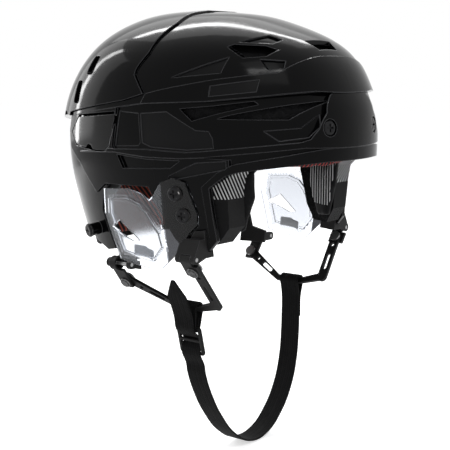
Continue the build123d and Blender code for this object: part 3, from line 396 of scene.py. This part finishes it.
# %% Bead foam and soft rubber
def bead_foam(name, colour, bead):
    """Foam moulded from beads."""
    finish = Finish(name)
    inputs = {"Vector": finish.place, "Scale": 1.0 / bead}
    seam = finish.node("ShaderNodeTexVoronoi", {"feature": "DISTANCE_TO_EDGE"}, inputs)
    shade_of_bead = finish.node("ShaderNodeTexVoronoi", inputs=inputs, output="Color")
    share = finish.parts(shade_of_bead)[0]
    pale = [c * 1.7 for c in colour]
    tint = finish.blend(share, colour, pale)
    plain = {"Specular IOR Level": 0.06}
    return finish.shade(tint, 0.72 - share * 0.15, seam.eased(0.0, 0.18), 0.18 * mm, 0.4 * mm, plain)


def soft_rubber(name, colour):
    """Pale rubber foam with closed pores."""
    finish = Finish(name)
    pores = finish.noise(0.8 * mm, 4.0)
    dull = [c * 0.8 for c in colour]
    tint = finish.blend(pores.eased(0.3, 0.7), dull, colour)
    return finish.shade(tint, 0.55 + pores * 0.2, pores, 0.12 * mm)


liner_foam = bead_foam("liner_foam", (0.0040, 0.0040, 0.0043), 3.2 * mm)
cushion_foam = soft_rubber("cushion_foam", (0.55, 0.57, 0.60))
print("foams")

# %% [markdown]
# The pads that touch the head are covered with a striped knit. A stripe is a wave along the cloth:
# PINGPONG goes up and down between nothing and half the spacing, and a narrow part of that is the
# line. The knit itself is two finer waves that cross. On the temple pads and the edge of the liner
# beside them the stripes are counted along the side of the head, and on the other pads round it, so
# the wave reads either a length or an angle, which z can slant. Below a lowest place there are none.

# %% Striped knit
stripe_spacing = 3.4 * mm
stripe_share = 0.36
knit_pitch = 0.9 * mm


def knit_cover(name, ground, line, spacing=stripe_spacing, round_head=0.0, slant=0.4, sideways=0.9,
               lowest=None, inside=False):
    """Knit with stripes. round_head is the radius that they go round, or zero for the side.

    The stripes end at the lowest place, and inside keeps them to the side that faces the head.
    """
    finish = Finish(name)
    x, y, z = finish.parts(finish.place)
    if round_head:
        along = finish.angle(x, y) * round_head
    else:
        along = y + x.math("ABSOLUTE", x) * sideways
    slanted = along + z * slant
    wave = slanted.fold(spacing / 2)
    half = spacing * stripe_share / 2
    stripe = 1.0 - wave.eased(half * 0.8, half * 1.2)
    if lowest:
        stripe = stripe * (z > lowest)
    if inside:
        normal_x, normal_y, _ = finish.parts(finish.node("ShaderNodeNewGeometry", output="Normal"))
        stripe = stripe * (x * normal_x + y * normal_y < 0.0)
    wale = (along.fold(knit_pitch / 2) / (knit_pitch / 2)).eased(0.0, 1.0)
    course = (z.fold(knit_pitch / 2) / (knit_pitch / 2)).eased(0.0, 1.0)
    loops = wale * 0.6 + course * 0.4
    fuzz = finish.noise(1.1 * mm, 4.0)
    dim = [c * 0.55 for c in ground]
    cloth = finish.blend(loops * 0.7 + fuzz * 0.3, dim, ground)
    tint = finish.blend(stripe * (0.8 + fuzz * 0.2), cloth, line)
    plain = {"Sheen Weight": 0.08, "Sheen Roughness": 0.5, "Specular IOR Level": 0.12}
    return finish.shade(tint, 0.85 - stripe * 0.15, loops + stripe * 0.5, 0.16 * mm, plain=plain)


black_cloth = (0.0075, 0.0075, 0.0080)
temple_white = (0.72, 0.72, 0.73)
temple_knit = knit_cover("temple_knit", black_cloth, temple_white, 2.5 * mm, slant=0.0, sideways=-0.6,
                         lowest=-44 * mm, inside=True)
edge_knit = knit_cover("edge_knit", black_cloth, temple_white, slant=-0.6, lowest=-26 * mm)
brow_knit = knit_cover("brow_knit", black_cloth, (0.42, 0.035, 0.03), round_head=90 * mm)
crown_knit = knit_cover("crown_knit", black_cloth, (0.30, 0.05, 0.03), round_head=60 * mm)
print("striped knits")

# %% [markdown]
# The screws are steel with a black coat that has rubbed through on its edges, the nuts are brass,
# and the rivets and pins are dark steel. Pointiness is high on outer edges, so it says where a coat
# wears first.

# %% Metals
def worn_black(name, colour, bare):
    """Black coated steel with bare metal along its edges."""
    finish = Finish(name)
    edge = finish.node("ShaderNodeNewGeometry", output="Pointiness")
    patchy = finish.noise(2 * mm, 4.0)
    wear = (edge + patchy * 0.05).eased(0.555, 0.62)
    tint = finish.blend(wear, colour, bare)
    plain = {"Metallic": wear * 0.9, "Specular IOR Level": 0.14}
    return finish.shade(tint, 0.26 + patchy * 0.16, patchy, 0.02 * mm, 0.25 * mm, plain)


def turned_brass(name, colour):
    """Brass with fine marks and some tarnish."""
    finish = Finish(name)
    tarnish = finish.noise(4 * mm, 5.0)
    dark = [colour[0] * 0.45, colour[1] * 0.38, colour[2] * 0.35]
    tint = finish.blend(tarnish.eased(0.35, 0.7), dark, colour)
    plain = {"Metallic": 1.0}
    return finish.shade(tint, 0.28 + tarnish * 0.2, tarnish, 0.02 * mm, 0.2 * mm, plain)


black_screw = worn_black("black_screw", (0.010, 0.010, 0.011), (0.36, 0.35, 0.34))
dark_steel = worn_black("dark_steel", (0.012, 0.012, 0.013), (0.30, 0.30, 0.30))
brass_nut = turned_brass("brass_nut", (0.75, 0.46, 0.25))
print("screws, pins and brass")

# %% [markdown]
# The chin strap is flat webbing. Its ribs follow the strap round every bend, so they can't be read
# from the place in space. The strap gets a UV map in metres instead: one direction runs along it
# and the other across. Twill ribs are slanted waves, and every second row is shifted by half.

# %% Webbing
def woven(name, colour, rib):
    """Twill webbing, on a UV map in metres called weave."""
    finish = Finish(name)
    along, across, _ = finish.parts(finish.node("ShaderNodeUVMap", {"uv_map": "weave"}))
    rows = (across.fold(rib) / rib).eased(0.1, 0.9)
    slanted = along + across.fold(rib * 2.0) * 0.8
    ribs = (slanted.fold(rib * 0.6) / (rib * 0.6)).eased(0.0, 1.0)
    height = ribs * 0.7 + rows * 0.3
    fuzz = finish.noise(0.7 * mm, 4.0)
    pale = [c * 2.6 for c in colour]
    tint = finish.blend(height * 0.6 + fuzz * 0.4, colour, pale)
    plain = {"Sheen Weight": 0.02, "Specular IOR Level": 0.05}
    return finish.shade(tint, 0.78 - ribs * 0.18, height, 0.22 * mm, plain=plain)


webbing_weave = woven("webbing", (0.0022, 0.0022, 0.0023), 1.1 * mm)
print("webbing")

# %% [markdown]
# ## From a solid to a shown piece
#
# A solid arrives as loose triangles. Its copy is merged first, so that neighbouring faces share
# their points. The triangles know the true normals of the curved surfaces that they came from, and
# a mirror finish shows every error in a normal, so these are carried over. Faces can get a second
# finish by a rule, such as every face that lies in the outline of a recessed panel.

# %% Copies of the solids
record = frame["record"]
body_of = {node: body for body, nodes in record["behaviour"]["bodies"].items() for node in nodes}
merge_distance = 0.002 * mm


def merged_mesh(node, name):
    """A merged copy of a solid's mesh, with the true normals of the solid's surfaces."""
    mesh = frame["nodes"][node].data.copy()
    mesh.name = name
    mesh.materials.clear()
    normals = [0.0] * (3 * len(mesh.loops))
    mesh.corner_normals.foreach_get("vector", normals)
    mesh.attributes.new("true_normal", "FLOAT_VECTOR", "CORNER").data.foreach_set("vector", normals)
    form = bmesh.new()
    form.from_mesh(mesh)
    bmesh.ops.remove_doubles(form, verts=form.verts, dist=merge_distance)
    form.to_mesh(mesh)
    form.free()
    normals = [tuple(corner.vector) for corner in mesh.attributes["true_normal"].data]
    mesh.normals_split_custom_set(normals)
    mesh.attributes.remove(mesh.attributes["true_normal"])
    return mesh


def show(piece, *nodes):
    """The piece stands for its nodes, which are hidden, and takes their body."""
    if piece.name not in bpy.context.scene.collection.objects:
        bpy.context.scene.collection.objects.link(piece)
    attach(piece, body_of[nodes[0]])
    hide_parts(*nodes)
    return piece


def dress(node, *finishes, rule=None):
    """Shows a smooth copy of a solid. With a rule, it tells the number of each face's finish."""
    mesh = merged_mesh(node, node + "_dressed")
    for finish in finishes:
        mesh.materials.append(finish)
    if rule:
        for face in mesh.polygons:
            face.material_index = int(rule(face.center, face.normal))
    return show(bpy.data.objects.new(node + "_dressed", mesh), node)


print("a solid can be dressed")

# %% [markdown]
# ## The two shells
#
# The front shell overlaps the rear one and slides over it to set the size. The recessed panels in
# its sides are satin and all else is gloss. Their outlines are side views, given as shares of the
# reach ahead and of the crown's height, the same way as the outlines of the shell itself. A face is
# in a panel if its middle is inside the outline: a line from there then crosses the outline's edges
# an odd number of times.

# %% Shells
front_reach = 134 * mm
crown_height = 113 * mm
satin_outlines = [
    [(-0.08, 0.31), (-0.25, 0.325), (-0.42, 0.21), (-0.49, 0.205), (-0.51, 0.16), (-0.515, 0.10),
     (-0.37, 0.085), (-0.15, 0.095), (-0.09, 0.12)],
    [(-0.27, -0.085), (-0.43, 0.005), (-0.585, 0.02), (-0.585, -0.03), (-0.26, -0.12)],
    [(-0.50, 0.49), (-0.71, 0.53), (-0.71, 0.455), (-0.50, 0.425)],
    [(-0.27, 0.54), (-0.54, 0.67), (-0.53, 0.57)],
]


def inside_outline(y, z, outline):
    """True if a side view point is inside an outline, counted by the edges that it is beside."""
    crossings = 0
    for (y1, z1), (y2, z2) in zip(outline, outline[1:] + outline[:1]):
        if (z1 > z) != (z2 > z) and y < y1 + (z - z1) / (z2 - z1) * (y2 - y1):
            crossings += 1
    return crossings % 2 == 1


def in_satin_panel(centre, normal):
    """True for the floors and walls of the recessed panels."""
    outwards = normal.x * centre.x > 0
    y, z = centre.y / front_reach, centre.z / crown_height
    return outwards and any(inside_outline(y, z, outline) for outline in satin_outlines)


front_piece = dress("front_shell", shell_gloss, shell_satin, rule=in_satin_panel)
rear_piece = dress("rear_shell", shell_gloss)
for side in ("left", "right"):
    dress("latch_flap_" + side, latch_gloss)
print("shells:", len(front_piece.data.polygons), "and", len(rear_piece.data.polygons), "faces")

# %% [markdown]
# ## Ear guards
#
# Each guard is one clear sheet, screwed to the front shell. Its raised middle stands further out
# than the rim and is frosted. The middle has the outline of the guard drawn in, again as a side view
# in shares, and the faces inside it get the frosted finish.

# %% Guards
guard_outline = [
    (0.205, -0.203), (0.007, -0.187), (-0.10, -0.225), (-0.17, -0.30), (-0.25, -0.44),
    (-0.27, -0.58), (-0.166, -0.726), (0.046, -0.70), (0.127, -0.68), (0.18, -0.50),
    (0.216, -0.372),
]
guard_middle = Vector((-0.02, -0.46))
raised_share = 0.84


def in_raised_middle(centre, normal):
    """True inside the outline of the raised middle, drawn in a little."""
    place = Vector((centre.y / front_reach, centre.z / crown_height))
    spread = guard_middle + (place - guard_middle) / raised_share
    return inside_outline(spread.x, spread.y, guard_outline)


for side in ("left", "right"):
    dress("ear_guard_" + side, guard_clear, guard_frosted, rule=in_raised_middle)
print("guards")

# %% [markdown]
# ## Rigid small pieces
#
# Liners, hangers, tabs, loops, rails, screws, nuts, pins and rivets keep the shape of their solids.
# They differ in finish. The knit of the temple pads runs on over the front edge of the liner.

# %% Small pieces
lined_from = 60 * mm
lined_ahead_of = -66 * mm


def on_temple_edge(centre, normal):
    """True for the front edges of the liner beside the temples, which show under the brow."""
    outside = centre.y < lined_ahead_of and normal.x * centre.x > 0
    return abs(centre.x) > lined_from and centre.z < 0 and (normal.y < -0.5 or outside)


dress("front_liner", liner_foam, edge_knit, rule=on_temple_edge)
dress("rear_liner", liner_foam)
sides = ("left", "right")
for node in ["front_hanger_", "front_tab_", "rear_tab_", "v_loop_", "ear_rail_"]:
    for side in sides:
        dress(node + side, black_nylon)
dress("strap_buckle", black_nylon)
for node in ("temple_screws", "brow_screws", "rear_screws"):
    dress(node, black_screw)
for node in ("temple_nuts", "brow_nuts", "rear_nuts"):
    dress(node, brass_nut)
for node in ("latch_pins", "front_hanger_pins", "rear_hanger_pins", "loop_rivets_left", "loop_rivets_right"):
    dress(node, dark_steel)
print("small pieces")

# %% [markdown]
# ## Pads
#
# The pads are foam in a knit cover. A stuffed thing is easiest to get by stuffing it: the solid is
# remeshed into even faces, made a little thinner, and blown up by Blender's cloth simulation with
# some pressure and no gravity. No point may go further than the cap, and what would go into the
# liner behind is put back on the solid. Sewn channels come last, as a push along a line, because
# remeshing would wipe them out.

# %% Stuffing a pad
voxel = 4.0 * mm
shrink = 0.7 * mm
cap = 2.4 * mm
last_frame = 20
pressure = 4.0
channel_depth = 1.1 * mm
channel_width = 3.0 * mm
lengthways_share = 0.7
outward_from = 0.3


def settled(piece):
    """Writes what the piece's modifiers make into a mesh of its own."""
    graph = bpy.context.evaluated_depsgraph_get()
    mesh = bpy.data.meshes.new_from_object(piece.evaluated_get(graph))
    piece.modifiers.clear()
    piece.data = mesh


def blown_up(piece, start):
    """Fills the piece with some pressure, and caps how far its points go from the start."""
    cloth = piece.modifiers.new("filling", "CLOTH")
    cloth.settings.use_pressure = True
    cloth.settings.uniform_pressure_force = pressure
    cloth.settings.effector_weights.gravity = 0.0
    cloth.settings.quality = 5
    cloth.point_cache.frame_start = 1
    cloth.point_cache.frame_end = last_frame
    for frame_number in range(1, last_frame + 1):
        bpy.context.scene.frame_set(frame_number)
    settled(piece)
    bpy.context.scene.frame_set(1)
    for point, place in zip(piece.data.vertices, start):
        move = point.co - place
        if move.length > cap:
            point.co = place + move * (cap / move.length)


def kept_clear(piece, solid):
    """Puts points that went out through the solid's shell side back on it."""
    for point in piece.data.vertices:
        nearest, normal, _, _ = solid.find_nearest(point.co)
        away = Vector((nearest.x, nearest.y * lengthways_share, nearest.z)).normalized()
        if normal.dot(away) > outward_from and (point.co - nearest).dot(normal) > 0:
            point.co = nearest


def channelled(piece, lines):
    """Presses sewn channels along the lines into the side that faces the head."""
    for point, normal in zip(piece.data.vertices, [v.normal.copy() for v in piece.data.vertices]):
        inward = normal.dot(point.co) < 0
        near = min([abs(line(point.co)) for line in lines] or [channel_width])
        if inward and near < channel_width:
            point.co -= normal * channel_depth * (0.5 + 0.5 * cos(pi * near / channel_width))


def stuffed(node, finish, lines=()):
    """Shows a stuffed pad in the space of its solid."""
    name = node + "_stuffed"
    mesh = merged_mesh(node, name)
    solid = BVHTree.FromPolygons([v.co for v in mesh.vertices], [p.vertices for p in mesh.polygons])
    piece = bpy.data.objects.new(name, mesh)
    bpy.context.scene.collection.objects.link(piece)
    remesh = piece.modifiers.new("even_faces", "REMESH")
    remesh.mode = "VOXEL"
    remesh.voxel_size = voxel
    settled(piece)
    for point, normal in zip(piece.data.vertices, [v.normal.copy() for v in piece.data.vertices]):
        point.co -= normal * shrink
    blown_up(piece, [v.co.copy() for v in piece.data.vertices])
    kept_clear(piece, solid)
    finer = piece.modifiers.new("smooth", "SUBSURF")
    finer.levels = finer.render_levels = 1
    settled(piece)
    channelled(piece, lines)
    kept_clear(piece, solid)
    piece.data.materials.clear()
    piece.data.materials.append(finish)
    piece.data.shade_smooth()
    show(piece, node)
    print(node, len(piece.data.vertices), "points")
    return piece


# %% [markdown]
# The brow pad and both crown pads have three channels, one in the middle and one to each side. The
# nape pad has the middle one alone, and the temple pads and guard cushions have none.

# %% Pads in place
def middle(point):
    """How far a point is from the line along the middle."""
    return point.x


def off_middle(distance):
    """A line at a distance to each side of the middle."""
    return lambda point: abs(point.x) - distance


brow_channel = off_middle(34 * mm)
crown_channel = off_middle(26 * mm)
stuffed("brow_pad", brow_knit, [middle, brow_channel])
stuffed("front_crown_pad", crown_knit, [middle, crown_channel])
stuffed("rear_crown_pad", crown_knit, [middle, crown_channel])
stuffed("nape_pad", crown_knit, [middle])
for side in sides:
    stuffed("temple_pad_" + side, temple_knit)
    stuffed("guard_cushion_" + side, cushion_foam)

# %% [markdown]
# ## Chin strap
#
# The strap is one length of flat webbing. It starts as a sewn eye on the bar of the left loop, hangs
# under the chin, weaves through the slide buckle and ends in a free tail. A flat strap can be made
# by bending a flat grid along a line: the grid's length is laid along the line and its width stays
# across, so its UV map comes out in real lengths and the twill follows every bend. The line is a
# curve through a few listed points, which Blender rounds by itself.

# %% Points of the strap
loop_bar = Vector((68.376, -113.782)) * mm
buckle_middle = Vector((-68.4, -140.0)) * mm
buckle_lean = radians(14.1)
buckle_up = Vector((-sin(buckle_lean), cos(buckle_lean)))
buckle_out = Vector((-cos(buckle_lean), -sin(buckle_lean)))
bar_pitch = 10.7 * mm
strap_y = -28 * mm
strap_width = 18 * mm
strap_thickness = 1.4 * mm
off_bar = 2.15 * mm
off_loop_bar = 4.3 * mm
over_link = 2.0 * mm


def near_buckle(up, out):
    """A point along the buckle and away from the face, in the x-z plane."""
    return buckle_middle + buckle_up * up + buckle_out * out


def round_a_bar(centre, radius, first, last, steps):
    """Points of an arc in the x-z plane, with angles in degrees from +X towards +Z."""
    angles = [radians(first + (last - first) * step / steps) for step in range(steps + 1)]
    return [centre + Vector((cos(angle), sin(angle))) * radius for angle in angles]


eye = round_a_bar(loop_bar, off_loop_bar, -30, 215, 7)
hanging = [(67.1, -127.0), (67.1, -146.0), (66.5, -160.0), (63.5, -183.0), (55.5, -205.0),
           (41.0, -224.0), (22.0, -236.5), (-1.0, -238.0), (-23.0, -226.5), (-41.0, -207.0),
           (-53.0, -188.0), (-61.6, -168.0)]
woven_places = [(-1.9, 0.0), (-1.12, off_bar), (-0.88, off_bar), (-0.125, -off_bar), (0.125, -off_bar),
                (0.62, off_bar), (1.0, off_bar + over_link)]
weave = [near_buckle(share * bar_pitch, out) for share, out in woven_places]
tail = [(-77.2, -121.0), (-81.0, -111.0), (-85.5, -101.0), (-89.5, -90.0)]
sewn = [(68.5, -145.0), (68.5, -136.0), (68.7, -128.5)]
strap_line = [Vector(p) * mm for p in sewn] + eye + [Vector(p) * mm for p in hanging]
strap_line += weave + [Vector(p) * mm for p in tail]
print("strap through", len(strap_line), "points")


# %% A strap from a flat grid
grid_step = 1.5 * mm
grid_rows = 8
tip_share = 0.15
knot_steps = 10
weld_distance = 0.05 * mm
sharp_angle = radians(50)
tiny = 1e-9


def rounded_line(points):
    """A smooth line through points of the x-z plane, as many close points."""
    data = bpy.data.curves.new("line", "CURVE")
    data.dimensions = "3D"
    data.resolution_u = knot_steps
    spline = data.splines.new("BEZIER")
    spline.bezier_points.add(len(points) - 1)
    for knot, point in zip(spline.bezier_points, points):
        knot.co = (point.x, 0.0, point.y)
        knot.handle_left_type = knot.handle_right_type = "AUTO"
    drawn = bpy.data.objects.new("line", data)
    mesh = bpy.data.meshes.new_from_object(drawn)
    line = [v.co.copy() for v in mesh.vertices]
    bpy.data.objects.remove(drawn)
    return line


def place_on(line, lengths, distance):
    """The point of the line at a distance from its start."""
    for (start, end), (low, high) in zip(zip(line, line[1:]), zip(lengths, lengths[1:])):
        if distance <= high:
            return start.lerp(end, max(0.0, (distance - low) / max(high - low, tiny)))
    return line[-1].copy()


def strap_mesh(name, points, point_tip=0.0):
    """A flat grid bent along a line, with its lengths as a UV map."""
    line = rounded_line(points)
    lengths = [0.0]
    for start, end in zip(line, line[1:]):
        lengths.append(lengths[-1] + (end - start).length)
    whole = lengths[-1]
    form = bmesh.new()
    columns = int(whole / grid_step)
    bmesh.ops.create_grid(form, x_segments=columns, y_segments=grid_rows, size=0.5)
    uv = form.loops.layers.uv.new("weave")
    for face in form.faces:
        for corner in face.loops:
            along, across = corner.vert.co.x + 0.5, corner.vert.co.y
            corner[uv].uv = (along * whole, across * strap_width)
    for point in form.verts:
        along, across = (point.co.x + 0.5) * whole, point.co.y
        left = whole - along
        narrow = min(1.0, tip_share + left / point_tip) if point_tip else 1.0
        point.co = place_on(line, lengths, along)
        point.co.y = strap_y + across * strap_width * narrow
    bmesh.ops.remove_doubles(form, verts=form.verts, dist=weld_distance)
    bmesh.ops.recalc_face_normals(form, faces=form.faces)
    mesh = bpy.data.meshes.new(name)
    form.to_mesh(mesh)
    form.free()
    print(name, "is", round(whole, 3), "m long")
    return mesh


def show_strap(node, points, point_tip=0.0):
    """Shows a strap in place of its solid."""
    piece = bpy.data.objects.new(node + "_woven", strap_mesh(node + "_woven", points, point_tip))
    bpy.context.scene.collection.objects.link(piece)
    wall = piece.modifiers.new("wall", "SOLIDIFY")
    wall.thickness = strap_thickness
    wall.offset = 0.0
    settled(piece)
    piece.data.materials.clear()
    piece.data.materials.append(webbing_weave)
    piece.data.shade_smooth()
    piece.data.set_sharp_from_angle(angle=sharp_angle)
    return show(piece, node)


show_strap("chin_webbing", strap_line, point_tip=16 * mm)

# %% [markdown]
# The short link is a closed ring of the same webbing, round the bar of the right loop and the top
# bar of the buckle.

# %% Link
far_bar = Vector((-68.826, -113.782)) * mm
near_bar = near_buckle(bar_pitch, 0.0)
over = round_a_bar(far_bar, off_loop_bar, 345, 555, 6)
under = round_a_bar(near_bar, off_bar, 195, 345, 4)
link_line = over + under + [over[0]]
show_strap("link_strap", link_line)
